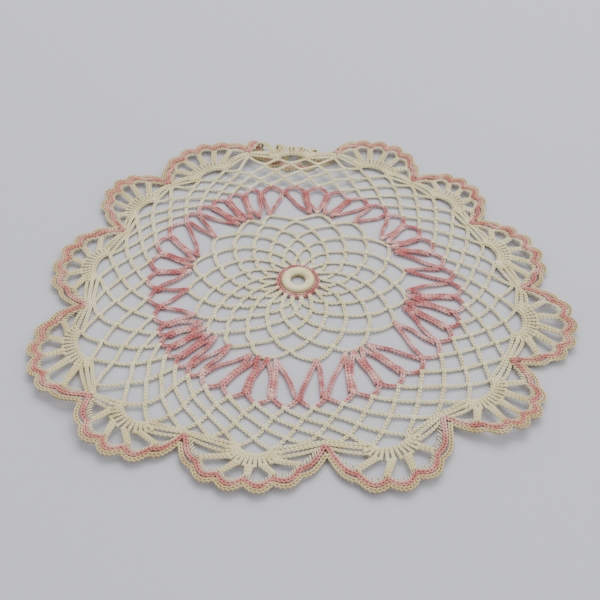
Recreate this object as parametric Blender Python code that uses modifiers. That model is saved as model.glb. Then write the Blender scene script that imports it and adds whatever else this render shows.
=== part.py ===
"""Round crocheted lace doily: cream and pink cotton worked in rounds from a padded centre ring.

Metres, +Z up. The doily lies flat with its underside at z = 0, and one shell at the back
(+Y) is folded under. Run with: blender --background --python part.py
"""

import math

import bmesh
import bpy
from mathutils import Vector

# Driving dimensions
REACH = 0.145  # from the ring's centre to the tip of the longest shell
GAP = 0.0003  # left between pieces that touch
STRAND = 0.0008  # radius of a chain of net
PINK_STRAND = 0.0009
EDGING = 0.0012  # radius of a row of edging
PLATE = 0.0016  # thickness of a shell
RING_HOLE = 0.0041
RING_OUTER = 0.0090
RING_HEIGHT = 0.0040
RING_SOFTENING = 0.0008
RING_EDGING_RADIUS = 0.0106
RING_LENGTHENING = 1.10  # the ring is drawn a little oval along Y

# Places along a direction are shares of REACH, and angles are degrees from +X towards +Y.
INNER_TIPS = (0.142, 0.192, 0.243, 0.297, 0.350, 0.402)  # loop tips of the inner net's rounds
# Where the inner net's last loops hold the pink round, and how many stitches share the loop
HOLDS = (
    (8, 1), (30, 4), (57.5, 1), (77, 4), (106, 1), (119, 4), (142, 1), (166, 4), (187, 1),
    (206, 1), (219, 4), (235, 1), (253, 4), (279, 1), (300, 4), (327, 1), (346, 4),
)
HOLD_PITCH = 4.6  # between stitches that share a loop
# Spans of the long loops: where each starts and how many loops spread evenly over it
SPANS = ((8, 5), (57.5, 5), (106, 5), (142, 6), (206, 5), (235, 5), (279, 5), (327, 5))
LONG_TIPS = ((20, 0.515), (80, 0.52), (110, 0.545), (150, 0.545), (175, 0.515), (200, 0.50),
             (225, 0.545), (262, 0.56), (345, 0.565))
ARCH_RISE = 0.043
OUTER_ROUNDS = 4
LAST_TIPS = ((12, 0.735), (92, 0.745), (145, 0.74), (157, 0.715), (173, 0.73), (205, 0.80),
             (220, 0.795), (231, 0.825), (244, 0.78), (260, 0.78), (276, 0.752), (291, 0.80),
             (305, 0.78), (318, 0.805), (331, 0.79), (344, 0.80), (357, 0.76))
# Shells: the angle of the tip, its reach, the scallops of its edge, and how far its top is drawn
# to one side, as a share of its width
SHELLS = (
    (12, 0.93, 6, 0), (38, 0.92, 6, 0), (65, 0.95, 6, 0), (92, 1.00, 6, 0), (119, 0.96, 6, 0),
    (145, 0.95, 6, 0), (173, 0.92, 6, -0.04), (205, 1.015, 6, -0.07), (231, 1.015, 5, 0.08),
    (260, 0.965, 6, 0), (291, 1.00, 5, -0.07), (318, 1.02, 6, -0.03), (344, 1.015, 6, -0.05),
)
# Valleys, each before the shell of the same place in the list: angle and reach
VALLEYS = (
    (357, 0.815), (26, 0.75), (52, 0.765), (78, 0.79), (105, 0.81), (132, 0.79), (157, 0.73),
    (190, 0.765), (220.5, 0.88), (244, 0.80), (276.5, 0.765), (305.5, 0.795), (331, 0.82),
)
SHELL_COLUMNS = (0, 3, 6, 9, 12, 15, 18, 21, 24, 28, 32, 35, 38)  # loops that carry a shell
FOLDED = 3  # the shell that is turned under
BASE_RISE = 0.032  # a shell's first arch above the net's last loops
POSTS = 0.0062  # height of the close stitches on that arch
POST_FLARE = 0.8  # how much wider than high the close stitches spread at the arch's ends
RIM = 0.0026  # cream stitches between the openings and the pink row
LEG = 0.0053  # length along the rim that each side of a spoke takes up
FOOT_SPREAD = 0.86  # share of the close stitches' curve that the spokes stand on
FOOT_TRIM = 0.04  # share of that curve between a spoke's middle and the opening beside it
ARM = 0.0034  # strands from a shell's base to the valley beside it
ARM_LENGTH = 0.78  # share of the way to the valley that a shell's outline follows those strands
ARM_OPENING = (0.42, 0.12)  # shares of the way between which an opening lies beside them
CORNER_CLEARANCE = 1.3  # how much farther from the net a shell's corners stand than its arch
SCALLOP = 0.0030  # depth of the scallops in the middle of a shell
ROW_PITCH = 2 * EDGING + 3 * GAP
VALLEY_SLANT = 28  # degrees that a row leans back from straight out where it leaves a valley
SQUARENESS = 0.4  # how much fuller than an arc a shell's shoulders are
VALLEY_MITRE = 2.0  # how much farther a row's offset reaches along the line of a valley

# The fold at the back
FOLD_ANGLE = 77.6
FOLD_REACH = 0.80
FOLD_RISE = 0.0030
LIFT_OUT = (-0.33, -0.15)  # shares of REACH before the fold over which the net rises onto it
LIFT_LEFT = (-0.12, -0.01)  # and at the fold's two ends
LIFT_RIGHT = (-0.52, -0.39)
TIP_FLAT = 0.0012  # half the length of a pink loop's flattened tip


def around(places, angle):
    """The value at an angle, smoothly between hand-set places around the doily."""
    ordered = [(a % 360, v) for a, v in places]
    ordered.sort()
    ordered = [(ordered[-1][0] - 360, ordered[-1][1])] + ordered + [(ordered[0][0] + 360, ordered[0][1])]
    angle %= 360
    for (a, low), (b, high) in zip(ordered, ordered[1:]):
        if a <= angle <= b:
            share = (1 - math.cos(math.pi * (angle - a) / (b - a))) / 2
            return low + (high - low) * share
    return ordered[0][1]


def polar(angle, reach):
    """A point of the plan, in metres, from degrees and a share of REACH."""
    return Vector((math.cos(math.radians(angle)), math.sin(math.radians(angle)))) * reach * REACH


def halfway(angles):
    """Angles midway between each and the next, around the full circle."""
    following = angles[1:] + [angles[0] + 360]
    return [(a + b) / 2 for a, b in zip(angles, following)]


def halfway_back(angles):
    """Angles midway between each and the one before it."""
    before = [angles[-1] - 360] + angles[:-1]
    return [(a + b) / 2 for a, b in zip(before, angles)]


def ramp(value, low, high):
    share = min(max((value - low) / (high - low), 0), 1)
    return share * share * (3 - 2 * share)


FOLD_NORMAL = Vector((math.cos(math.radians(FOLD_ANGLE)), math.sin(math.radians(FOLD_ANGLE))))
FOLD_ALONG = Vector((-FOLD_NORMAL.y, FOLD_NORMAL.x))


def lay(point, middle, proud=0.0, folded=False):
    """Where a point of the sheet lies, raised over the fold or, past it, turned under.

    middle is the height of the sheet's middle on the table, and proud how far the point
    stands above that middle.
    """
    past = point.dot(FOLD_NORMAL) - FOLD_REACH * REACH
    along = point.dot(FOLD_ALONG) / REACH
    roll = FOLD_RISE / 2
    if not folded or past <= 0:
        rise = ramp(past / REACH, *LIFT_OUT) * ramp(along, *LIFT_LEFT) * ramp(-along, *LIFT_RIGHT)
        return Vector((point.x, point.y, middle + proud + FOLD_RISE * rise))
    turn = min(past / roll, math.pi)
    back = past - roll * math.pi if turn == math.pi else 0.0
    reach = (roll + proud) * math.sin(turn) - back
    base = point - FOLD_NORMAL * (past - reach)
    return Vector((base.x, base.y, middle + roll + (roll + proud) * math.cos(turn)))


def material(name, colour, roughness):
    made = bpy.data.materials.new(name)
    made.use_nodes = True
    shader = made.node_tree.nodes["Principled BSDF"]
    shader.inputs["Base Color"].default_value = (*colour, 1)
    shader.inputs["Roughness"].default_value = roughness
    made.diffuse_color = (*colour, 1)
    return made


def tube(name, points, radius, finish):
    """A closed ring of thread through the points, as one tube."""
    curve = bpy.data.curves.new(name, "CURVE")
    curve.dimensions = "3D"
    curve.twist_mode = "Z_UP"
    curve.bevel_depth = radius
    curve.bevel_resolution = 0
    spline = curve.splines.new("POLY")
    spline.points.add(len(points) - 1)
    for target, point in zip(spline.points, points):
        target.co = (*point, 1)
    spline.use_cyclic_u = True
    curve.materials.append(finish)
    made = bpy.data.objects.new(name, curve)
    doily.objects.link(made)
    return made


def loops(name, feet, tips, radius, finish, flat=0.0):
    """One round of loops: each foot and tip in turn, a tip flattened over 2 * flat metres."""
    points = []
    for foot, tip in zip(feet, tips):
        across = Vector((-tip.y, tip.x)).normalized() * flat
        points.append(foot)
        points.extend([tip - across, tip + across] if flat else [tip])
    return tube(name, [lay(p, radius) for p in points], radius, finish)


# A clean scene with one collection for the doily
for old in list(bpy.data.objects):
    bpy.data.objects.remove(old)
doily = bpy.data.collections.new("crocheted_doily")
bpy.context.scene.collection.children.link(doily)
cream = material("cream_cotton", (0.72, 0.66, 0.50), 0.85)
pink = material("pink_cotton", (0.72, 0.38, 0.36), 0.85)

# Centre ring: close stitches over a coil of thread, turned from one profile
profile = [
    (RING_HOLE + RING_SOFTENING, 0), (RING_OUTER - RING_SOFTENING, 0), (RING_OUTER, RING_SOFTENING),
    (RING_OUTER, RING_HEIGHT - RING_SOFTENING), (RING_OUTER - RING_SOFTENING, RING_HEIGHT),
    (RING_HOLE + RING_SOFTENING, RING_HEIGHT), (RING_HOLE, RING_HEIGHT - RING_SOFTENING),
    (RING_HOLE, RING_SOFTENING),
]
mesh = bpy.data.meshes.new("centre_ring")
shape = bmesh.new()
corners = [shape.verts.new((r, 0, z)) for r, z in reversed(profile)]
for a, b in zip(corners, corners[1:] + corners[:1]):
    shape.edges.new((a, b))
shape.to_mesh(mesh)
shape.free()
ring = bpy.data.objects.new("centre_ring", mesh)
doily.objects.link(ring)
ring.scale.y = RING_LENGTHENING
mesh.materials.append(cream)
screw = ring.modifiers.new("turn", "SCREW")
screw.steps = screw.render_steps = 40
screw.use_merge_vertices = True
screw.merge_threshold = 0.0001
screw.use_smooth_shade = False

# Its pink edging, a ring of one row
steps = 48
circle = [polar(360 * i / steps, RING_EDGING_RADIUS / REACH) for i in range(steps)]
oval = [Vector((p.x, p.y * RING_LENGTHENING, EDGING)) for p in circle]
tube("ring_edging", oval, EDGING, pink)

# Inner net: each round's feet stand on the tips of the round before it
hold_angles = [angle for angle, _ in HOLDS]
round_angles = [hold_angles]
for count in range(len(INNER_TIPS)):
    step = halfway if count % 2 else halfway_back
    round_angles.insert(0, step(round_angles[0]))
feet = []
for angle in round_angles[0]:
    bare = polar(angle, 1.0).normalized()
    stretch = Vector((bare.x, bare.y * RING_LENGTHENING))
    feet.append(stretch * (RING_EDGING_RADIUS + EDGING + STRAND + GAP))
for number, reach in enumerate(INNER_TIPS):
    angles = round_angles[number + 1]
    # A tip stands between its own foot and the next, or between the one before and its own
    before = angles[0] < round_angles[number][0]
    starts = feet[-1:] + feet[:-1] if before else feet
    tips = [polar(a, reach) for a in angles]
    loops(f"inner_net_round_{number + 1}", starts, tips, STRAND, cream)
    feet = [polar(a, reach + (2 * STRAND + GAP) / REACH) for a in angles]

# Long pink loops, held singly or four to a loop of the net
hold_reach = INNER_TIPS[-1] + (STRAND + PINK_STRAND + GAP) / REACH
feet = []
for angle, count in HOLDS:
    for i in range(count):
        feet.append(polar(angle + (i - (count - 1) / 2) * HOLD_PITCH, hold_reach))
tip_angles = []
for (start, count), (end, _) in zip(SPANS, SPANS[1:] + ((SPANS[0][0] + 360, 0),)):
    tip_angles += [start + (end - start) * i / count for i in range(count)]
tips = [polar(a, around(LONG_TIPS, a)) for a in tip_angles]
loops("fan_long_loops", feet, tips, PINK_STRAND, pink, flat=TIP_FLAT)
# Small pink arches from tip to tip
feet = [p.normalized() * (p.length + 2 * PINK_STRAND + GAP) for p in tips]
arch_angles = halfway(tip_angles)
tips = [polar(a, around(LONG_TIPS, a) + ARCH_RISE) for a in arch_angles]
loops("fan_arches", feet, tips, PINK_STRAND, pink, flat=TIP_FLAT)

# Outer net: four plain rounds, drawn round by round towards the shells' places
columns = len(tip_angles)
places = list(zip(SHELL_COLUMNS, [tip for tip, _, _, _ in SHELLS]))


def column_angle(column):
    """Where a column of the last round stands, between the shells that it lies between."""
    turns = column // columns
    column -= turns * columns
    ordered = places + [(columns, places[0][1] + 360)]
    for (a, low), (b, high) in zip(ordered, ordered[1:]):
        if a <= column <= b:
            return low + (high - low) * (column - a) / (b - a) + 360 * turns
    return 0.0


def drawn(angles, offset, share):
    """Net angles moved towards the columns that the shells set."""
    wanted = [column_angle(i + offset) for i in range(columns)]
    return [a + (b - a) * share for a, b in zip(angles, wanted)]


def knot(number, clear=EDGING + STRAND + GAP):
    """Where the strands between two shells are gathered, under the edging of a valley."""
    angle, reach = VALLEYS[number % len(VALLEYS)]
    return polar(angle, reach - clear / REACH)


def under_runs(point, corners):
    """The point, moved in or out to just inside the straight run between shell and valley there."""
    for number, column in enumerate(SHELL_COLUMNS):
        ends = ((knot(number), corners[column]), (corners[(column + 1) % columns], knot(number + 1)))
        for start, end in ends:
            run = end - start
            if run.length == 0 or point.cross(start) * point.cross(end) > 0 or point.dot(start) < 0:
                continue
            meets = start.cross(run) / point.normalized().cross(run)
            slope = abs(point.normalized().cross(run.normalized()))
            return point.normalized() * (meets - (2 * STRAND + 2 * GAP) / slope)
    return point


net_angles = arch_angles
offset = 0.5
feet = [p.normalized() * (p.length + STRAND + PINK_STRAND + GAP) for p in tips]
for number in range(OUTER_ROUNDS):
    share = (number + 1) / OUTER_ROUNDS
    # A tip stands halfway to the next foot, so every round moves half a loop on
    angles = halfway(net_angles)
    offset += 0.5
    angles = drawn(angles, offset, share)
    reaches = []
    for a in angles:
        start = around(LONG_TIPS, a) + ARCH_RISE
        reaches.append(start + (around(LAST_TIPS, a) - start) * share)
    tips = [polar(a, r) for a, r in zip(angles, reaches)]
    clear = 2 * STRAND + (3 * GAP if number == OUTER_ROUNDS - 1 else GAP)
    next_feet = [polar(a, r + clear / REACH) for a, r in zip(angles, reaches)]
    if number == OUTER_ROUNDS - 1:
        # A corner takes the number of the loop that starts on it
        corners = {round(i + offset + 0.5) % columns: foot for i, foot in enumerate(next_feet)}
        standing = {c % columns for column in SHELL_COLUMNS for c in (column, column + 1)}
        for i, tip in enumerate(tips):
            if round(i + offset + 0.5) % columns not in standing:
                tips[i] = under_runs(tip, corners)
    loops(f"outer_net_round_{number + 1}", feet, tips, STRAND, cream)
    feet = next_feet
    net_angles = angles


def arch(start, end, rise, count, spread=0.0):
    """Points of a half-ellipse from start to end, bulging away from the ring's centre."""
    middle = (start + end) / 2
    half = (end - start) / 2
    half = half * (half.length + spread) / half.length
    out = Vector((half.y, -half.x)).normalized() * rise
    if out.dot(middle) < 0:
        out = -out
    turns = [math.pi * i / (count - 1) for i in range(count)]
    return [middle - half * math.cos(t) + out * math.sin(t) for t in turns]


# The round that carries the shells: an arch under each, and a straight run to each valley
points = []
for number, column in enumerate(SHELL_COLUMNS):
    points.append(knot(number))
    points += arch(corners[column], corners[(column + 1) % columns], BASE_RISE * REACH, 5)
tube("shell_base_round", [lay(p, STRAND) for p in points], STRAND, cream)


def row(number, share, offset):
    """A point of the scalloped edge, from the valley before a shell (0) to the one after (1).

    offset is how far the row stands outside the pink row, whose middle runs through the valleys.
    """
    angle, reach, scallops, lean = SHELLS[number]
    ends = []
    for valley_angle, valley_reach in (VALLEYS[number], VALLEYS[(number + 1) % len(VALLEYS)]):
        ends.append(polar(valley_angle, valley_reach + VALLEY_MITRE * offset / REACH))
    out = polar(angle, 1).normalized()
    tip = reach * REACH - EDGING - ROW_PITCH - SCALLOP / 2 + offset
    height = tip - (ends[0] + ends[1]).dot(out) / 2
    low = math.radians(VALLEY_SLANT)
    turn = low + (math.pi - 2 * low) * share
    across = (1 - math.cos(turn) / math.cos(low)) / 2
    up = (math.sin(turn) - math.sin(low)) / (1 - math.sin(low))
    up += SQUARENESS * up * (1 - up)
    across += lean * up
    bump = SCALLOP * math.sin(math.pi * share) * (abs(math.sin(math.pi * scallops * share)) - 0.5)
    side = (ends[1] - ends[0]).normalized() * -math.cos(turn)
    return ends[0] + (ends[1] - ends[0]) * across + out * height * up + (out * up + side).normalized() * bump


def edge(name, offset, finish):
    """One row of the edging, right round the doily, turned under with the folded shell."""
    points = []
    for number, (_, _, scallops, _) in enumerate(SHELLS):
        parts = scallops * (6 if number == FOLDED else 2)
        for i in range(parts):
            points.append(lay(row(number, i / parts, offset), EDGING, folded=number == FOLDED))
    tube(name, points, EDGING, finish)


edge("pink_edging", 0.0, pink)
edge("cream_edging", ROW_PITCH, cream)


def shell(number):
    """A shell as a flat fan: close stitches on the arch, spokes, and a rim round the openings."""
    _, _, scallops, _ = SHELLS[number]
    column = SHELL_COLUMNS[number]
    start, end = corners[column], corners[(column + 1) % columns]
    touching = STRAND + GAP
    valleys = [knot(number), knot(number + 1)]
    base = arch(start, end, BASE_RISE * REACH + touching, 7, touching)

    def post_top(share):
        middle = (start + end) / 2
        half = (end - start) / 2
        half = half * (half.length + POSTS * POST_FLARE) / half.length
        out = middle.normalized()
        turn = math.pi * share
        return middle - half * math.cos(turn) + out * (BASE_RISE * REACH + POSTS) * math.sin(turn)

    outside = -EDGING - 2 * GAP
    inside = outside - RIM
    outline = [row(number, i / (2 * scallops), outside) for i in range(1, 2 * scallops)]
    arms = []
    for corner, valley in ((start, valleys[0]), (end, valleys[1])):
        run = valley - corner
        out = Vector((-run.y, run.x)).normalized()
        if out.dot(corner) < 0:
            out = -out
        arms.append((corner, run, out))
    inner = []
    for corner, run, out in arms:
        inner.append([corner + run * ARM_LENGTH + out * touching])
        inner[-1].append(corner + (out + run.normalized()) * touching * CORNER_CLEARANCE)
    outline += inner[1] + base[-2:0:-1] + inner[0][::-1]
    openings = []
    trim = LEG / REACH
    for i in range(scallops):
        low = i / scallops
        high = (i + 1) / scallops
        posts = [post_top(0.5 + (low - 0.5) * FOOT_SPREAD + FOOT_TRIM)]
        posts.append(post_top(0.5 + (high - 0.5) * FOOT_SPREAD - FOOT_TRIM))
        rim = [row(number, share, inside) for share in (high - trim, (low + high) / 2, low + trim)]
        if i in (0, scallops - 1):
            # An opening beside a valley is bounded by the strands that run to it
            corner, run, out = arms[0 if i == 0 else 1]
            strand = [corner + run * share + out * ARM for share in ARM_OPENING]
            opening = strand + [posts[1], rim[0]] if i == 0 else strand + [posts[0], rim[2]]
        else:
            opening = posts + rim
        openings.append(opening)
    return outline, openings


for number in range(len(SHELLS)):
    name = f"shell_{number + 1:02d}"
    outline, openings = shell(number)
    curve = bpy.data.curves.new(name, "CURVE")
    curve.dimensions = "2D"
    curve.fill_mode = "BOTH"
    curve.extrude = PLATE / 2
    for path in [outline] + openings:
        spline = curve.splines.new("POLY")
        spline.points.add(len(path) - 1)
        for target, point in zip(spline.points, path):
            target.co = (*point, 0, 1)
        spline.use_cyclic_u = True
    flat = bpy.data.objects.new(name + "_outline", curve)
    doily.objects.link(flat)
    bpy.context.view_layer.update()
    mesh = bpy.data.meshes.new_from_object(flat.evaluated_get(bpy.context.evaluated_depsgraph_get()))
    bpy.data.objects.remove(flat)
    shape = bmesh.new()
    shape.from_mesh(mesh)
    bmesh.ops.remove_doubles(shape, verts=shape.verts, dist=0.00001)
    if number == FOLDED:
        for turn in (0, 0.25, 0.5, 0.75, 1):
            cut = FOLD_NORMAL * (FOLD_REACH * REACH + turn * math.pi * FOLD_RISE / 2)
            bmesh.ops.bisect_plane(
                shape, geom=shape.verts[:] + shape.edges[:] + shape.faces[:], dist=0.000001,
                plane_co=(cut.x, cut.y, 0), plane_no=(FOLD_NORMAL.x, FOLD_NORMAL.y, 0),
            )
    for corner in shape.verts:
        corner.co = lay(corner.co.xy, PLATE / 2, corner.co.z, folded=number == FOLDED)
    bmesh.ops.recalc_face_normals(shape, faces=shape.faces)
    shape.to_mesh(mesh)
    shape.free()
    mesh.name = name
    mesh.materials.append(cream)
    doily.objects.link(bpy.data.objects.new(name, mesh))

# The whole doily hangs from one empty, moved so that the middle of its outline is the origin
bpy.context.view_layer.update()
graph = bpy.context.evaluated_depsgraph_get()
lows, highs = [], []
for piece in doily.objects:
    evaluated = piece.evaluated_get(graph)
    spots = [piece.matrix_world @ v.co for v in evaluated.to_mesh().vertices]
    lows.append([min(p[axis] for p in spots) for axis in (0, 1)])
    highs.append([max(p[axis] for p in spots) for axis in (0, 1)])
    evaluated.to_mesh_clear()
middle = [(min(low[axis] for low in lows) + max(high[axis] for high in highs)) / 2 for axis in (0, 1)]
origin = bpy.data.objects.new("doily_origin", None)
bpy.context.scene.collection.objects.link(origin)
for piece in doily.objects:
    piece.parent = origin
origin.location = (-middle[0], -middle[1], 0)
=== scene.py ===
"""A round lace doily in cream and pink cotton, crocheted stitch by stitch and laid on a pale table.

Every stitch is made of its own short turns of thread, laid along the rounds of the doily. Metres,
+Z up, with the doily's face up and its folded shell at the back.
"""

import math

import bmesh
import bpy
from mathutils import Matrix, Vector, noise


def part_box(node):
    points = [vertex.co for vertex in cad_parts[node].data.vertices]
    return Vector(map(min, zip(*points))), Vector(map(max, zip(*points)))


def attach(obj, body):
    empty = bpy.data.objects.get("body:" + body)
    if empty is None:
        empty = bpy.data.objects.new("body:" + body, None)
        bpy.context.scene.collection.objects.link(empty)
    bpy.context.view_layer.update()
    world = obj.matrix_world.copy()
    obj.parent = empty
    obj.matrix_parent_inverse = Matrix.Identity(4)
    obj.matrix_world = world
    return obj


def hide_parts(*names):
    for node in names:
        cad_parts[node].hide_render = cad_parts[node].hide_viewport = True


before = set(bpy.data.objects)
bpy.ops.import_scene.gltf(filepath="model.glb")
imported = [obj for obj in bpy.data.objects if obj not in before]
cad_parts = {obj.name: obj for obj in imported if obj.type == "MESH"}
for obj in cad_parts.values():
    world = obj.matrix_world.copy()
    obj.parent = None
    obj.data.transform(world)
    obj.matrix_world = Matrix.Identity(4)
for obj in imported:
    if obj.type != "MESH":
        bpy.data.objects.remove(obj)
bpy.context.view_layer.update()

# Centre ring. Close stitches of cream crochet cotton, worked over a coil of the same thread and drawn
# a little oval. Places on the lace are flat points from the ring's middle, with the height of the
# thread over the table as the third number.
REACH = 0.145  # from the ring's middle to the tip of the back shell, the measure of the whole lace
THREAD = 0.00050  # radius of a strand of a stitch, which is a doubled thread
RING_OVAL = 1.10
# The coil: how far out and up each of its rows lies, in millimetres, and how many strands thick it is
COIL = ((6.4, 1.9, 3.4), (7.6, 1.6, 2.6))
RING_STITCHES = 42
OVER_THE_COIL = ((4.2, 0.9), (4.5, 2.6), (5.9, 3.6), (7.7, 3.2), (9.2, 1.4))  # out and up in millimetres
RING_LOW, RING_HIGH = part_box("centre_ring")
RING_MIDDLE = (RING_LOW + RING_HIGH) / 2


def polar(angle, reach):
    """A place on the lace from degrees, +X towards +Y, and a share of REACH."""
    turn = math.radians(angle)
    return Vector((math.cos(turn), math.sin(turn), 0)) * reach * REACH


def ramp(value, low, high):
    """How far a value has come from low to high, eased at both ends."""
    share = min(max((value - low) / (high - low), 0), 1)
    return share * share * (3 - 2 * share)


def around(places, angle):
    """The value at an angle, smoothly between the places given as angle and value."""
    ordered = sorted((a % 360, v) for a, v in places)
    first, last = ordered[0], ordered[-1]
    ordered = [(last[0] - 360, last[1]), *ordered, (first[0] + 360, first[1])]
    angle %= 360
    for (a, low), (b, high) in zip(ordered, ordered[1:]):
        if a <= angle <= b:
            return low + (high - low) * (1 - math.cos(math.pi * (angle - a) / (b - a))) / 2


# Where the lace has curled up off the table: angle, and millimetres at its outer edge
CURLS = (
    (0, 0.6), (12, 3.2), (26, 1.0), (38, 3.0), (52, 1.0), (62, 2.6), (78, 0.4), (105, 0.4), (119, 1.6),
    (132, 1.2), (143, 2.8), (157, 1.0), (173, 2.2), (190, 1.4), (205, 1.6), (222, 4.2), (234, 2.0),
    (244, 1.2), (260, 1.8), (276, 0.8), (291, 1.6), (303, 1.4), (311, 4.6), (322, 1.6), (331, 0.8),
    (341, 1.8), (352, 4.0),
)
CURL_OUT = (0.70, 1.02)  # shares of REACH over which the edge curls up
FOLD_OUT = polar(77.6, 1).normalized()  # square to the fold at the back
FOLD_ALONG = Vector((-FOLD_OUT.y, FOLD_OUT.x, 0))
FOLD_AT = 0.80  # share of REACH
FOLD_ROLL = 0.0015  # radius of the roll that the turned shell makes
FABRIC = 0.0008  # height of the middle of the lace
LEAST = 0.0006  # height of the turned shell's lowest strands
# The net rises over the turned shell: shares of REACH outwards, and to the left and right of the fold
RISE_OUT, RISE_LEFT, RISE_RIGHT = (-0.33, -0.12), (-0.14, 0), (-0.54, -0.38)


def lie(point, folded=False):
    """Where a place of the flat lace lies on the table, curled at its edge or turned under."""
    past = point.x * FOLD_OUT.x + point.y * FOLD_OUT.y - FOLD_AT * REACH
    along = (point.x * FOLD_ALONG.x + point.y * FOLD_ALONG.y) / REACH
    if folded and past > 0:
        proud = point.z - FABRIC
        turn = min(past / FOLD_ROLL, math.pi)
        back = past - FOLD_ROLL * math.pi if turn == math.pi else 0
        reach = (FOLD_ROLL + proud) * math.sin(turn) - back
        base = point - FOLD_OUT * (past - reach)
        height = FABRIC + FOLD_ROLL + (FOLD_ROLL + proud) * math.cos(turn)
        return RING_MIDDLE + Vector((base.x, base.y, max(height, LEAST) - RING_MIDDLE.z))
    out = math.hypot(point.x, point.y) / REACH
    angle = math.degrees(math.atan2(point.y, point.x))
    rise = 2 * FOLD_ROLL * ramp(past / REACH, *RISE_OUT)
    rise *= ramp(along, *RISE_LEFT) * ramp(-along, *RISE_RIGHT)
    rise += around(CURLS, angle) / 1000 * ramp(out, *CURL_OUT)
    # Slack thread never lies quite flat
    ease = 0.0005 * ramp(out, 0.12, 0.3) * (1 + noise.noise(point * 60))
    height = max(point.z + rise + ease, THREAD)
    return RING_MIDDLE + Vector((point.x, point.y, height - RING_MIDDLE.z))


def thread_piece(name, strands, finish, folded=False):
    """One piece of thread work: each strand is a list of places and the thickness at each, as a share."""
    curve = bpy.data.curves.new(name, "CURVE")
    curve.dimensions = "3D"
    curve.bevel_depth = THREAD
    curve.bevel_resolution = 0
    curve.use_fill_caps = True
    for places, thickness in strands:
        spline = curve.splines.new("POLY")
        spline.points.add(len(places) - 1)
        flat = [number for place in places for number in (*lie(place, folded), 1)]
        spline.points.foreach_set("co", flat)
        spline.points.foreach_set("radius", thickness)
    rough = bpy.data.objects.new(name + "_curve", curve)
    bpy.context.scene.collection.objects.link(rough)
    graph = bpy.context.evaluated_depsgraph_get()
    mesh = bpy.data.meshes.new_from_object(rough.evaluated_get(graph))
    bpy.data.objects.remove(rough)
    shape = bmesh.new()
    shape.from_mesh(mesh)
    bmesh.ops.remove_doubles(shape, verts=shape.verts, dist=0.0000005)
    bmesh.ops.recalc_face_normals(shape, faces=shape.faces)
    shape.to_mesh(mesh)
    shape.free()
    mesh.shade_smooth()
    mesh.name = name
    mesh.materials.clear()
    mesh.materials.append(finish)
    piece = bpy.data.objects.new(name, mesh)
    bpy.context.scene.collection.objects.link(piece)
    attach(piece, "root")
    return piece


def linear(colour):
    """The linear colour of an sRGB hex value."""
    parts = [int(colour[i:i + 2], 16) / 255 for i in (1, 3, 5)]
    return (*[c / 12.92 if c <= 0.04045 else ((c + 0.055) / 1.055) ** 2.4 for c in parts], 1)


def node(material, kind, links=(), **values):
    """Adds a node, sets its values and inputs, and links sockets to it as (input, node, output)."""
    made = material.node_tree.nodes.new(kind)
    for key, value in values.items():
        if key in made.bl_rna.properties:
            setattr(made, key, value)
        else:
            made.inputs[key.replace("_", " ")].default_value = value
    for socket, source, output in links:
        material.node_tree.links.new(source.outputs[output], made.inputs[socket])
    return made


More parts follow.
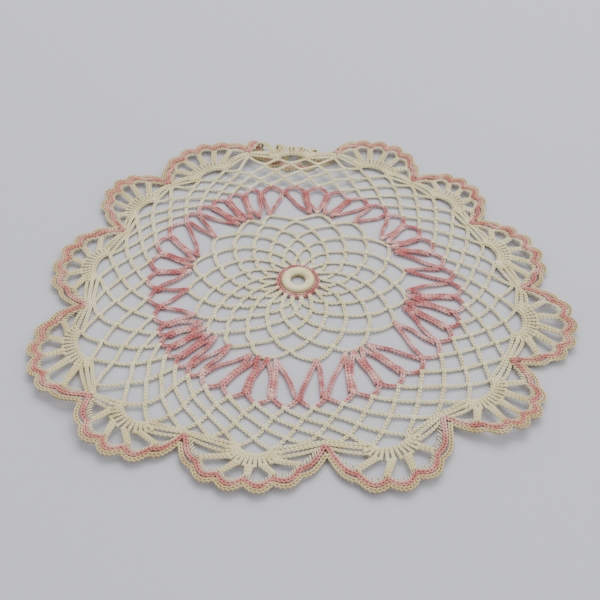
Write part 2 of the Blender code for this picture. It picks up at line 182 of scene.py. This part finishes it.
def crochet_cotton(name, stops, aged, painted_shade_colour):
    """Mercerised crochet cotton: a soft satin thread of two plies, whose dye or age shows in patches.

    stops are the colours along the thread, aged what it turns to towards the outer edge, and the last
    colour is a painted shade that darkens the ends of each strand, where it dips under the next stitch.
    """
    material = bpy.data.materials.new(name)
    material.use_nodes = True
    shader = material.node_tree.nodes["Principled BSDF"]
    where = node(material, "ShaderNodeTexCoord")
    # Patches of colour about 15 mm long, as a variegated or unevenly aged thread has
    patches = node(material, "ShaderNodeTexNoise", [("Vector", where, "Object")], Scale=150, Detail=4)
    colours = node(material, "ShaderNodeValToRGB", [("Fac", patches, 0)])
    while len(colours.color_ramp.elements) < len(stops):
        colours.color_ramp.elements.new(0.5)
    for element, (place, colour) in zip(colours.color_ramp.elements, stops):
        element.position = place
        element.color = linear(colour)
    # Age and handling darken the outer edge
    out = node(material, "ShaderNodeVectorMath", [(0, where, "Object")], operation="LENGTH")
    edge = node(
        material, "ShaderNodeMapRange", [("Value", out, "Value")], interpolation_type="SMOOTHSTEP",
        From_Min=0.095, From_Max=0.142,
    )
    stains = node(material, "ShaderNodeTexNoise", [("Vector", where, "Object")], Scale=38, Detail=3)
    share = node(material, "ShaderNodeMath", [(0, edge, "Result"), (1, stains, 0)], operation="MULTIPLY")
    worn = node(material, "ShaderNodeMix", [(0, share, "Value"), (6, colours, "Color")], data_type="RGBA")
    worn.inputs[7].default_value = linear(aged)
    # The two plies wind about each short strand a little over twice
    along = node(material, "ShaderNodeUVMap", uv_map="UVMap")
    parts = node(material, "ShaderNodeSeparateXYZ", [("Vector", along, "UV")])
    turns = node(material, "ShaderNodeMath", [(0, parts, "X")], operation="MULTIPLY")
    turns.inputs[1].default_value = 2.2
    wound = node(material, "ShaderNodeMath", [(0, turns, "Value"), (1, parts, "Y")], operation="ADD")
    phase = node(material, "ShaderNodeMath", [(0, wound, "Value")], operation="MULTIPLY")
    phase.inputs[1].default_value = 4 * math.pi
    plies = node(material, "ShaderNodeMath", [(0, phase, "Value")], operation="SINE")
    bump = node(material, "ShaderNodeBump", [("Height", plies, "Value")], Strength=0.35, Distance=0.00008)
    # Painted shade: each short strand is coloured darker towards either end of its length, where it dips
    # under the next stitch and little light reaches
    middle = node(material, "ShaderNodeMath", [(0, parts, "X")], operation="SUBTRACT")
    middle.inputs[1].default_value = 0.5
    from_middle = node(material, "ShaderNodeMath", [(0, middle, "Value")], operation="ABSOLUTE")
    painted_shade_share = node(
        material, "ShaderNodeMapRange", [("Value", from_middle, "Value")], From_Min=0.22, From_Max=0.5
    )
    painted_shade_mix = node(material, "ShaderNodeMix", [(0, painted_shade_share, "Result"), (6, worn, 2)], data_type="RGBA")
    painted_shade_mix.inputs[7].default_value = linear(painted_shade_colour)
    links = material.node_tree.links
    links.new(painted_shade_mix.outputs[2], shader.inputs["Base Color"])
    links.new(bump.outputs["Normal"], shader.inputs["Normal"])
    shader.inputs["Roughness"].default_value = 0.72
    shader.inputs["Sheen Weight"].default_value = 0.25
    shader.inputs["Sheen Roughness"].default_value = 0.5
    shader.inputs["Specular IOR Level"].default_value = 0.3
    return material


cream = crochet_cotton(
    "cream_crochet_cotton", ((0.30, "#F0EBC6"), (0.55, "#EAE0B0"), (0.75, "#DFCF98")), "#C9B274",
    # painted shade at the ends of each strand
    "#A08C4E",
)

# The coil under the stitches, as one fat ring of thread, and the stitches over it
strands = []
sides = 36
for row_out, row_up, fat in COIL:
    circle = [polar(360 * i / sides, row_out / 1000 / REACH) for i in range(sides + 1)]
    strands.append(([Vector((p.x, p.y * RING_OVAL, row_up / 1000)) for p in circle], [fat] * (sides + 1)))
for i in range(RING_STITCHES):
    for side in (-0.23, 0.23):
        angle = 360 * (i + side) / RING_STITCHES + 2 * noise.noise(Vector((i, 0, 0)))
        leg = [polar(angle, out / 1000 / REACH) + Vector((0, 0, up / 1000)) for out, up in OVER_THE_COIL]
        strands.append(([Vector((p.x, p.y * RING_OVAL, p.z)) for p in leg], [0.8, 0.9, 1.1, 1.2, 1.0]))
centre_ring = thread_piece("centre_ring_stitches", strands, cream)
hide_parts("centre_ring")

# Pink edging of the ring. One row of close stitches whose tops lie as a plait, in a variegated pink
# cotton that runs from nearly white to rose.
CHAIN = 0.0021  # length of a chain stitch
CHAIN_SPREAD = 0.00062  # from the chain's middle to each of its two legs
# A leg of a chain: shares of a stitch ahead, shares of the spread aside, how far up, and its thickness
CHAIN_LEG = (
    (-0.05, 0.02, -0.00025, 0.75), (0.42, 0.62, 0.00040, 1.05), (0.95, 1.05, 0.00015, 1),
    (1.40, 0.55, -0.00045, 0.6),
)
RING_EDGING = 0.0104


def measured(line):
    """A line with how far along it each place is."""
    far = [0.0]
    for a, b in zip(line, line[1:]):
        far.append(far[-1] + (b - a).length)
    return line, far


def along_line(line, far, distance):
    """The place at a distance along the line and the direction there, running on past its ends."""
    i = 0
    while i < len(far) - 2 and far[i + 1] < distance:
        i += 1
    ahead = line[i + 1] - line[i]
    ahead.normalize()
    return line[i] + ahead * (distance - far[i]), ahead


def plait(line, pitch=CHAIN, spread=CHAIN_SPREAD, fat=1.0):
    """Chain stitches along a line: each has two legs that spread and close on the next stitch."""
    line, far = measured(line)
    count = max(1, round(far[-1] / pitch))
    step = far[-1] / count
    strands = []
    for i in range(count):
        for side in (-1, 1):
            leg = []
            for ahead_share, out, up, _ in CHAIN_LEG:
                place, ahead = along_line(line, far, (i + ahead_share) * step)
                across = Vector((-ahead.y, ahead.x, 0)).normalized() * side * out * spread
                leg.append(place + across + Vector((0, 0, up)))
            strands.append((leg, [thickness * fat for *_, thickness in CHAIN_LEG]))
    return strands


pink = crochet_cotton(
    "variegated_pink_crochet_cotton", ((0.34, "#ECC0B4"), (0.48, "#D38D85"), (0.62, "#BC6361")), "#D8917C",
    # painted shade at the ends of each strand
    "#8C3A3C",
)
circle = [polar(360 * i / 60, RING_EDGING / REACH) for i in range(61)]
oval = [Vector((p.x, p.y * RING_OVAL, 0.0017)) for p in circle]
strands = plait(oval, pitch=0.0020, spread=0.00085, fat=1.0)
circle = [polar(360 * i / 60, (RING_EDGING + 0.0004) / REACH) for i in range(61)]
strands += plait([Vector((p.x, p.y * RING_OVAL, 0.0007)) for p in circle], spread=0.0006)
ring_edging = thread_piece("ring_edging_stitches", strands, pink)
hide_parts("ring_edging")

# Inner net. Six rounds of 17 chain loops in the cream cotton, each loop held on the middle of a loop
# of the round before by one close stitch.
INNER_TIPS = (0.142, 0.192, 0.243, 0.297, 0.350, 0.402)
# Where the last loops hold the pink round, and how many stitches share the loop
HOLDS = (
    (8, 1), (30, 4), (57.5, 1), (77, 4), (106, 1), (119, 4), (142, 1), (166, 4), (187, 1),
    (206, 1), (219, 4), (235, 1), (253, 4), (279, 1), (300, 4), (327, 1), (346, 4),
)
LOW = 0.0007  # height of a strand that lies on the table
OVER = 0.0014  # height where it is hooked over another
# A close stitch over a strand: millimetres ahead and up, then how wide and how thick, as shares
OVER_A_STRAND = ((-1.15, 0.4, 0.7, 0.8), (-0.75, 1.55, 1, 1), (0.35, 1.95, 1, 1), (1.15, 1.0, 0.8, 0.8))
SLACK = 0.0011  # how far a slack strand strays to either side
noise.seed_set(5)  # so that the strands stray in the same way on every run


def halfway(angles):
    """Angles midway between each and the next, around the full circle."""
    return [(a + b) / 2 for a, b in zip(angles, angles[1:] + [angles[0] + 360])]


def halfway_back(angles):
    """Angles midway between each and the one before."""
    return [(a + b) / 2 for a, b in zip([angles[-1] - 360] + angles[:-1], angles)]


def strand_to(start, tip, bow, high=OVER, steps=9):
    """Half a loop: out from where it is held and round to its tip, bowed as slack thread lies."""
    out = start.normalized()
    corner = start.lerp(tip, 0.5).lerp(start + out * (tip - start).dot(out), bow)
    line = []
    for i in range(steps + 1):
        share = i / steps
        place = start * (1 - share) ** 2 + corner * 2 * share * (1 - share) + tip * share ** 2
        slack = noise.noise_vector(place * 45 + Vector((0, 0, 5))) * SLACK * math.sin(math.pi * share)
        place += Vector((slack.x, slack.y, 0))
        place.z = LOW + (high - LOW) * (1 - ramp(share, 0, 0.35))
        line.append(place)
    return line


def loop_line(start, tip, end, bow):
    """A whole loop, its tip rounded off."""
    line = strand_to(start, tip, bow)[:-1] + [tip + Vector((0, 0, LOW))]
    line += strand_to(end, tip, bow)[-2::-1]
    before, at, after = line[len(line) // 2 - 1], line[len(line) // 2], line[len(line) // 2 + 1]
    at += ((before + after) / 2 - at) * 0.35
    return line


def hold(place, ahead, fat=1.0, wide=0.00042):
    """One close stitch that grips the strand under it, as two turns of thread over the top."""
    across = Vector((-ahead.y, ahead.x, 0))
    strands = []
    for side in (-1, 1):
        turn = [
            place + across * side * wide * wider + ahead * out / 1000 + Vector((0, 0, up / 1000))
            for out, up, wider, _ in OVER_A_STRAND
        ]
        strands.append((turn, [thickness * fat for *_, thickness in OVER_A_STRAND]))
    return strands


round_angles = [[angle for angle, _ in HOLDS]]
for count in range(len(INNER_TIPS)):
    step = halfway if count % 2 else halfway_back
    round_angles.insert(0, step(round_angles[0]))
feet = []
for angle in round_angles[0]:
    bare = polar(angle, (RING_EDGING + 0.0010) / REACH)
    feet.append(Vector((bare.x, bare.y * RING_OVAL, 0)))
lace = [centre_ring, ring_edging]
for number, reach in enumerate(INNER_TIPS):
    strands = []
    angles = round_angles[number + 1]
    before = angles[0] < round_angles[number][0]
    starts = feet[-1:] + feet[:-1] if before else feet
    tips = [polar(a, reach) for a in angles]
    for i, tip in enumerate(tips):
        end = starts[(i + 1) % len(starts)]
        strands += plait(loop_line(starts[i], tip, end, 0.55 if number < 2 else 0.42))
        strands += hold(starts[i], starts[i].normalized())
    feet = [polar(a, reach + 0.003) for a in angles]
    inner_round = thread_piece(f"inner_net_chain_{number + 1}", strands, cream)
    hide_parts(f"inner_net_round_{number + 1}")
    lace.append(inner_round)

# Pink fan round. 41 long slack loops of chain, four or one to a loop of the net, and a small arch from
# each loop's tip to the next, all in the variegated pink.
HOLD_PITCH = 4.3  # degrees between stitches that share a loop
# Spans of the long loops: where each starts and how many loops spread evenly over it
SPANS = ((8, 5), (57.5, 5), (106, 5), (142, 6), (206, 5), (235, 5), (279, 5), (327, 5))
LONG_TIPS = ((20, 0.515), (80, 0.52), (110, 0.545), (150, 0.545), (175, 0.515), (200, 0.50),
             (225, 0.545), (262, 0.56), (345, 0.565))
ARCH_RISE = 0.043  # of the small arches over the loops' tips, as a share of REACH
PINK_SPREAD = 0.00078
PINK_FAT = 1.12
HAIRPIN = 0.0011  # half the width of a long loop at its tip

feet = []
for angle, count in HOLDS:
    for i in range(count):
        feet.append(polar(angle + (i - (count - 1) / 2) * HOLD_PITCH, INNER_TIPS[-1] + 0.003))
tip_angles = []
for (start, count), (end, _) in zip(SPANS, SPANS[1:] + ((SPANS[0][0] + 360, 0),)):
    tip_angles += [start + (end - start) * i / count for i in range(count)]
tips = [polar(a, around(LONG_TIPS, a)) for a in tip_angles]
strands = []
for i, tip in enumerate(tips):
    across = Vector((-tip.y, tip.x, 0)).normalized() * HAIRPIN
    for foot, end, side in ((feet[i], tip - across, 1), (feet[(i + 1) % len(feet)], tip + across, -1)):
        line = []
        ahead = (end - foot).normalized()
        aside = Vector((-ahead.y, ahead.x, 0))
        for step in range(13):
            share = step / 12
            # A slack hairpin bellies out a little and closes again at its tip
            slack = 0.0007 * side * math.sin(math.pi * share)
            slack += 0.0022 * math.sin(math.pi * share) * noise.noise(Vector((i * 1.7, share * 1.4, 3)))
            place = foot.lerp(end, share) + aside * slack
            stray = 0.0006 * abs(noise.noise(Vector((i, share * 2, side))))
            place.z = LOW + 0.0007 * (1 - ramp(share, 0, 0.3)) + stray
            line.append(place)
        strands += plait(line, spread=PINK_SPREAD, fat=PINK_FAT)
    turn = [tip - across + Vector((0, 0, LOW)), tip * 1.012 + Vector((0, 0, 0.0012))]
    turn.append(tip + across + Vector((0, 0, LOW)))
    strands += plait(turn, spread=PINK_SPREAD, fat=1.1)
    strands += hold(feet[i], feet[i].normalized(), 1.1)
long_loops = thread_piece("fan_long_loops_chain", strands, pink)
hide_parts("fan_long_loops")

feet = [p.normalized() * (p.length + 0.0006) for p in tips]
arch_angles = halfway(tip_angles)
tips = [polar(a, around(LONG_TIPS, a) + ARCH_RISE) for a in arch_angles]
strands = []
for i, tip in enumerate(tips):
    line = loop_line(feet[i], tip, feet[(i + 1) % len(feet)], 0.35)
    strands += plait(line, spread=PINK_SPREAD, fat=PINK_FAT)
    strands += hold(feet[i], feet[i].normalized(), 1.15, 0.0006)
fan_arches = thread_piece("fan_arches_chain", strands, pink)
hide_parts("fan_arches")

# Outer lace. Four plain rounds of 41 cream chain loops, drawn towards 13 shells: an arch of close tall
# stitches on every third or fourth loop, spokes, and a rim of short stitches round the openings.
OUTER_ROUNDS = 4
# Where the tips of the last round lie: angle and share of REACH
LAST_TIPS = ((12, 0.735), (92, 0.745), (145, 0.74), (157, 0.715), (173, 0.73), (205, 0.80),
             (220, 0.795), (231, 0.825), (244, 0.78), (260, 0.78), (276, 0.752), (291, 0.80),
             (305, 0.78), (318, 0.805), (331, 0.79), (344, 0.80), (357, 0.76))
# Shells: the angle of the tip, its reach, the scallops of its edge, and how far its top is drawn
# to one side, as a share of its width
SHELLS = (
    (12, 0.93, 6, 0), (38, 0.92, 6, 0), (65, 0.95, 6, 0), (92, 1.00, 6, 0), (119, 0.96, 6, 0),
    (145, 0.95, 6, 0), (173, 0.92, 6, -0.04), (205, 1.015, 6, -0.07), (231, 1.015, 5, 0.08),
    (260, 0.965, 6, 0), (291, 1.00, 5, -0.07), (318, 1.02, 6, -0.03), (344, 1.015, 6, -0.05),
)
# The valley before each shell: angle and share of REACH
VALLEYS = (
    (357, 0.815), (26, 0.75), (52, 0.765), (78, 0.79), (105, 0.81), (132, 0.79), (157, 0.73),
    (190, 0.765), (220.5, 0.88), (244, 0.80), (276.5, 0.765), (305.5, 0.795), (331, 0.82),
)
SHELL_COLUMNS = (0, 3, 6, 9, 12, 15, 18, 21, 24, 28, 32, 35, 38)  # loops that carry a shell
FOLDED = 3  # the shell that is turned under
BASE_RISE = 0.032  # of the arch that carries a shell, as a share of REACH
POSTS = 0.0062  # height of the close stitches on that arch
POST_FLARE = 0.8  # how much wider than high they spread at the arch's ends
FOOT_SPREAD = 0.86  # share of the close stitches' curve that the spokes stand on
LEG_APART = 0.036  # share of that curve between the legs of a spoke
RIM = 0.0021  # cream stitches between the openings and the pink row
# A leg of a stitch of the rim: aside and inwards as shares, and up in millimetres, then its thickness
RIM_LEG = ((0.1, 1.1, 0.9, 0.55), (1.0, 0.9, 1.7, 0.8), (0.9, 0.3, 1.9, 0.8), (0.2, -0.3, 1.2, 0.6))
# Strands beside the base round, from a shell to its valley: how far aside, how high, how slack
BESIDE_THE_BASE = ((0.0027, 0.0016, 0.0003), (0.0052, 0.0009, 0.0010))
ROW_STITCH = 0.0019  # length of a tall stitch's turns and of a stitch of the edging
EDGING = 0.0012  # half the width of a row of edging
ROW_PITCH = 0.0033  # from one row of edging to the next
KNOT_IN = 0.0023  # how far inside the pink row the strands of a valley are gathered
SCALLOP = 0.0040  # depth of the scallops in the middle of a shell
VALLEY_SLANT = 28  # degrees that a row leans back from straight out where it leaves a valley
SQUARENESS = 0.4  # how much fuller than an arc a shell's shoulders are
VALLEY_MITRE = 2.0  # how much farther a row's offset reaches along the line of a valley
columns = len(tip_angles)
places = list(zip(SHELL_COLUMNS, [tip for tip, _, _, _ in SHELLS]))


def column_angle(column):
    """Where a loop of the last round stands, between the shells that it lies between."""
    turns = column // columns
    column -= turns * columns
    ordered = places + [(columns, places[0][1] + 360)]
    for (a, low), (b, high) in zip(ordered, ordered[1:]):
        if a <= column <= b:
            return low + (high - low) * (column - a) / (b - a) + 360 * turns


def knot(number):
    """Where the strands between two shells are gathered, under the edging of a valley."""
    angle, reach = VALLEYS[number % len(VALLEYS)]
    return polar(angle, reach - KNOT_IN / REACH)


def row(number, share, offset):
    """A place of the scalloped edge of a shell, from the valley before it (0) to the one after (1)."""
    angle, reach, scallops, lean = SHELLS[number]
    ends = []
    for valley_angle, valley_reach in (VALLEYS[number], VALLEYS[(number + 1) % len(VALLEYS)]):
        ends.append(polar(valley_angle, valley_reach + VALLEY_MITRE * offset / REACH))
    out = polar(angle, 1).normalized()
    tip = reach * REACH - EDGING - ROW_PITCH - SCALLOP / 2 + offset
    height = tip - (ends[0] + ends[1]).dot(out) / 2
    low = math.radians(VALLEY_SLANT)
    turn = low + (math.pi - 2 * low) * share
    across = (1 - math.cos(turn) / math.cos(low)) / 2
    up = (math.sin(turn) - math.sin(low)) / (1 - math.sin(low))
    up += SQUARENESS * up * (1 - up)
    across += lean * up
    bump = SCALLOP * math.sin(math.pi * share) * (abs(math.sin(math.pi * scallops * share)) - 0.5)
    side = (ends[1] - ends[0]).normalized() * -math.cos(turn)
    place = ends[0] + (ends[1] - ends[0]) * across + out * height * up
    return place + (out * up + side).normalized() * bump


def arch(start, end, rise, count, wider=0.0):
    """Places of a half-ellipse from start to end, bulging away from the ring."""
    middle = (start + end) / 2
    half = (end - start) / 2
    half = half * (half.length + wider) / half.length
    out = middle.normalized() * rise
    turns = [math.pi * i / (count - 1) for i in range(count)]
    return [middle - half * math.cos(t) + out * math.sin(t) for t in turns]


def raised(line, height):
    """The same line at one height over the table."""
    return [Vector((p.x, p.y, height)) for p in line]


def to_run(point, corners):
    """The point, moved in or out to the straight run between shell and valley there."""
    for number, column in enumerate(SHELL_COLUMNS):
        ends = ((knot(number), corners[column]), (corners[(column + 1) % columns], knot(number + 1)))
        for start, end in ends:
            run = end - start
            if point.cross(start).z * point.cross(end).z > 0 or point.dot(start) < 0:
                continue
            meets = start.cross(run).z / point.normalized().cross(run).z
            slope = abs(point.normalized().cross(run.normalized()).z)
            return point.normalized() * (meets - 0.0008 / slope)
    return point


net = []
net_angles = arch_angles
offset = 0.5
feet = [p.normalized() * (p.length + 0.0005) for p in tips]
for number in range(OUTER_ROUNDS):
    share = (number + 1) / OUTER_ROUNDS
    angles = halfway(net_angles)
    offset += 0.5
    angles = [a + (column_angle(i + offset) - a) * share for i, a in enumerate(angles)]
    tips = []
    for a in angles:
        start = around(LONG_TIPS, a) + ARCH_RISE
        tips.append(polar(a, start + (around(LAST_TIPS, a) - start) * share))
    if number == OUTER_ROUNDS - 1:
        corners = {round(i + offset + 0.5) % columns: tip for i, tip in enumerate(tips)}
        standing = {c % columns for column in SHELL_COLUMNS for c in (column, column + 1)}
        for i, tip in enumerate(tips):
            if round(i + offset + 0.5) % columns not in standing:
                tips[i] = to_run(tip, corners)
    for i, tip in enumerate(tips):
        net += plait(loop_line(feet[i], tip, feet[(i + 1) % columns], 0.12))
        net += hold(feet[i], feet[i].normalized())
    feet = [p.normalized() * (p.length + 0.0005) for p in tips]
    net_angles = angles


def tall_stitch(foot, head, lift, spread=0.00042, fat=0.80):
    """A tall stitch from foot to head, whose strands wind about each other in short turns."""
    return plait(raised([foot, head], lift), pitch=ROW_STITCH, spread=spread, fat=fat)


for number, (_, _, scallops, _) in enumerate(SHELLS):
    shell = []
    column = SHELL_COLUMNS[number]
    start, end = corners[column], corners[(column + 1) % columns]
    base = [start] + arch(start, end, BASE_RISE * REACH, 11) + [end]
    # The base round passes under this shell and runs to the valley on each side
    net += plait(raised([knot(number)] + base + [knot(number + 1)], 0.0010))
    for corner, valley in ((start, knot(number)), (end, knot(number + 1))):
        run = valley - corner
        aside = Vector((-run.y, run.x, 0)).normalized()
        if aside.dot(corner) < 0:
            aside = -aside
        # Two more strands run beside the base round to the valley, each with its own slack
        for strand, lift, slack in BESIDE_THE_BASE:
            line = []
            for i in range(9):
                share = i / 8
                spread_out = strand * (1 - 0.5 * share) + slack * math.sin(math.pi * share)
                line.append(corner.lerp(valley, share) + aside * spread_out)
            shell += plait(raised(line, lift), spread=0.00056, fat=0.95)
    # Close tall stitches stand on the arch
    middle = (start + end) / 2
    half = (end - start) / 2
    out = middle.normalized()

    def post_place(share, height):
        """A place on a ray from the arch to the top of its close stitches."""
        turn = math.pi * share
        wide = half * (half.length + height * POST_FLARE) / half.length
        return middle - wide * math.cos(turn) + out * (BASE_RISE * REACH + height) * math.sin(turn)

    posts = 2 * scallops + 3
    for i in range(posts):
        share = 0.03 + 0.94 * (i + 0.5) / posts
        foot, head = post_place(share, -0.0006), post_place(share, POSTS + 0.0008)
        shell += tall_stitch(foot, head, 0.0015, 0.00048, 0.95)
    # Spokes: close groups of tall stitches from the arch to each dip of the scallops
    rim_in = -EDGING - RIM
    for spoke in range(1, scallops):
        share = spoke / scallops
        foot_share = 0.5 + (share - 0.5) * FOOT_SPREAD
        along = (row(number, share + 0.01, rim_in) - row(number, share - 0.01, rim_in)).normalized()
        slack = 0.0012 * noise.noise(Vector((number * 2.3, spoke * 1.9, 7)))
        for leg_number in (-1, 0, 1):
            foot = post_place(foot_share + leg_number * LEG_APART, POSTS - 0.0004)
            head = row(number, share, rim_in + 0.0012) + along * (leg_number * 0.00085 + slack)
            shell += tall_stitch(foot, head, 0.0014 + 0.0003 * (1 - abs(leg_number)))
    # Short stitches of the rim, close against the pink row
    rim_count = scallops * 5
    for i in range(rim_count):
        share = (i + 0.5) / rim_count
        short = ramp(min(share, 1 - share), 0.02, 0.10)
        if short < 0.15:
            continue
        for side in (-1, 1):
            leg = []
            for aside, inward, height, _ in RIM_LEG:
                place = row(number, share + side * 0.26 / rim_count * aside, -EDGING - RIM * inward * short)
                leg.append(place + Vector((0, 0, height / 1000)))
            shell.append((leg, [thickness for *_, thickness in RIM_LEG]))
    shell_piece = thread_piece(f"shell_{number + 1:02d}_stitches", shell, cream, number == FOLDED)
    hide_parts(f"shell_{number + 1:02d}")
    lace.append(shell_piece)
outer_net = thread_piece("outer_net", net, cream)
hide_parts(*[f"outer_net_round_{n + 1}" for n in range(OUTER_ROUNDS)], "shell_base_round")

# Pink edging and the cream row outside it. Each is a row of close stitches that follows the scallops
# right round the doily; the pink lies on top as a plait, and the cream turns down outside it.


def edge_row(name, node_name, offset, height, spread, finish):
    """A row of close stitches right round, whose tops lie as a plait."""
    made = []
    for turned in (False, True):
        strands = []
        for number, (_, _, scallops, _) in enumerate(SHELLS):
            if (number == FOLDED) != turned:
                continue
            parts = scallops * 8
            line = [row(number, i / parts, offset) for i in range(parts + 1)]
            for up, wide in ((height, spread), (height - 0.0008, spread * 0.6)):
                strands += plait(raised(line, up), pitch=ROW_STITCH, spread=wide, fat=1.1)
        piece = thread_piece(name + ("_turned" if turned else ""), strands, finish, turned)
        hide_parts(node_name)
        made.append(piece)
    return made


aged_cream = crochet_cotton(
    "aged_cream_crochet_cotton", ((0.30, "#EADFB2"), (0.55, "#DFCF9A"), (0.75, "#CDB77E")), "#B89A62",
    # painted shade at the ends of each strand
    "#84693C",
)
lace += edge_row("pink_edging_stitches", "pink_edging", 0.0, 0.0020, 0.00078, pink)
lace += edge_row(
    "cream_edging_stitches", "cream_edging", 0.0024, 0.0016, 0.00080, aged_cream
)

# Table. A plain pale grey table top, smooth and matt, seen only round the lace and through it.
table_shape = bmesh.new()
bmesh.ops.create_grid(table_shape, x_segments=1, y_segments=1, size=4)
table_mesh = bpy.data.meshes.new("table_top")
table_shape.to_mesh(table_mesh)
table_shape.free()
table = bpy.data.objects.new("table_top", table_mesh)
bpy.context.scene.collection.objects.link(table)
paint = bpy.data.materials.new("matt_pale_grey_paint")
paint.use_nodes = True
coat = paint.node_tree.nodes["Principled BSDF"]
coat.inputs["Base Color"].default_value = linear("#C2C2C9")
coat.inputs["Roughness"].default_value = 0.8
coat.inputs["Specular IOR Level"].default_value = 0.2
table_mesh.materials.append(paint)

# The pieces of the doily, gathered in one list. Spread out with its turned shell it is 276 by 283 mm, and
# its thread covers three tenths of that square. The outer net is the largest of its pieces.
lace += [long_loops, fan_arches]

# Light and view. One broad soft light from high behind, a weaker one from the right, and pale air all
# round, with the camera close over the table and looking down across it.
for name, place, size, power in (
    ("window", (0.25, 0.9, 1.5), 1.4, 27),
    ("fill", (1.2, -0.3, 1.1), 1.2, 7),
):
    lamp = bpy.data.lights.new(name, "AREA")
    lamp.size = size
    lamp.energy = power
    light = bpy.data.objects.new(name, lamp)
    light.location = place
    light.rotation_euler = (-Vector(place)).to_track_quat("-Z", "Y").to_euler()
    bpy.context.scene.collection.objects.link(light)
world = bpy.data.worlds.new("room")
world.use_nodes = True
world.node_tree.nodes["Background"].inputs["Color"].default_value = linear("#E9EAEE")
world.node_tree.nodes["Background"].inputs["Strength"].default_value = 1.05
bpy.context.scene.world = world
view = bpy.data.cameras.new("view")
view.lens = 57.6
view.sensor_width = 36
camera = bpy.data.objects.new("view", view)
camera.location = (RING_MIDDLE.x + 0.0011, RING_MIDDLE.y - 0.3775, 0.3458)
camera.rotation_euler = (math.radians(46.5), 0, 0)
bpy.context.scene.collection.objects.link(camera)
bpy.context.scene.camera = camera
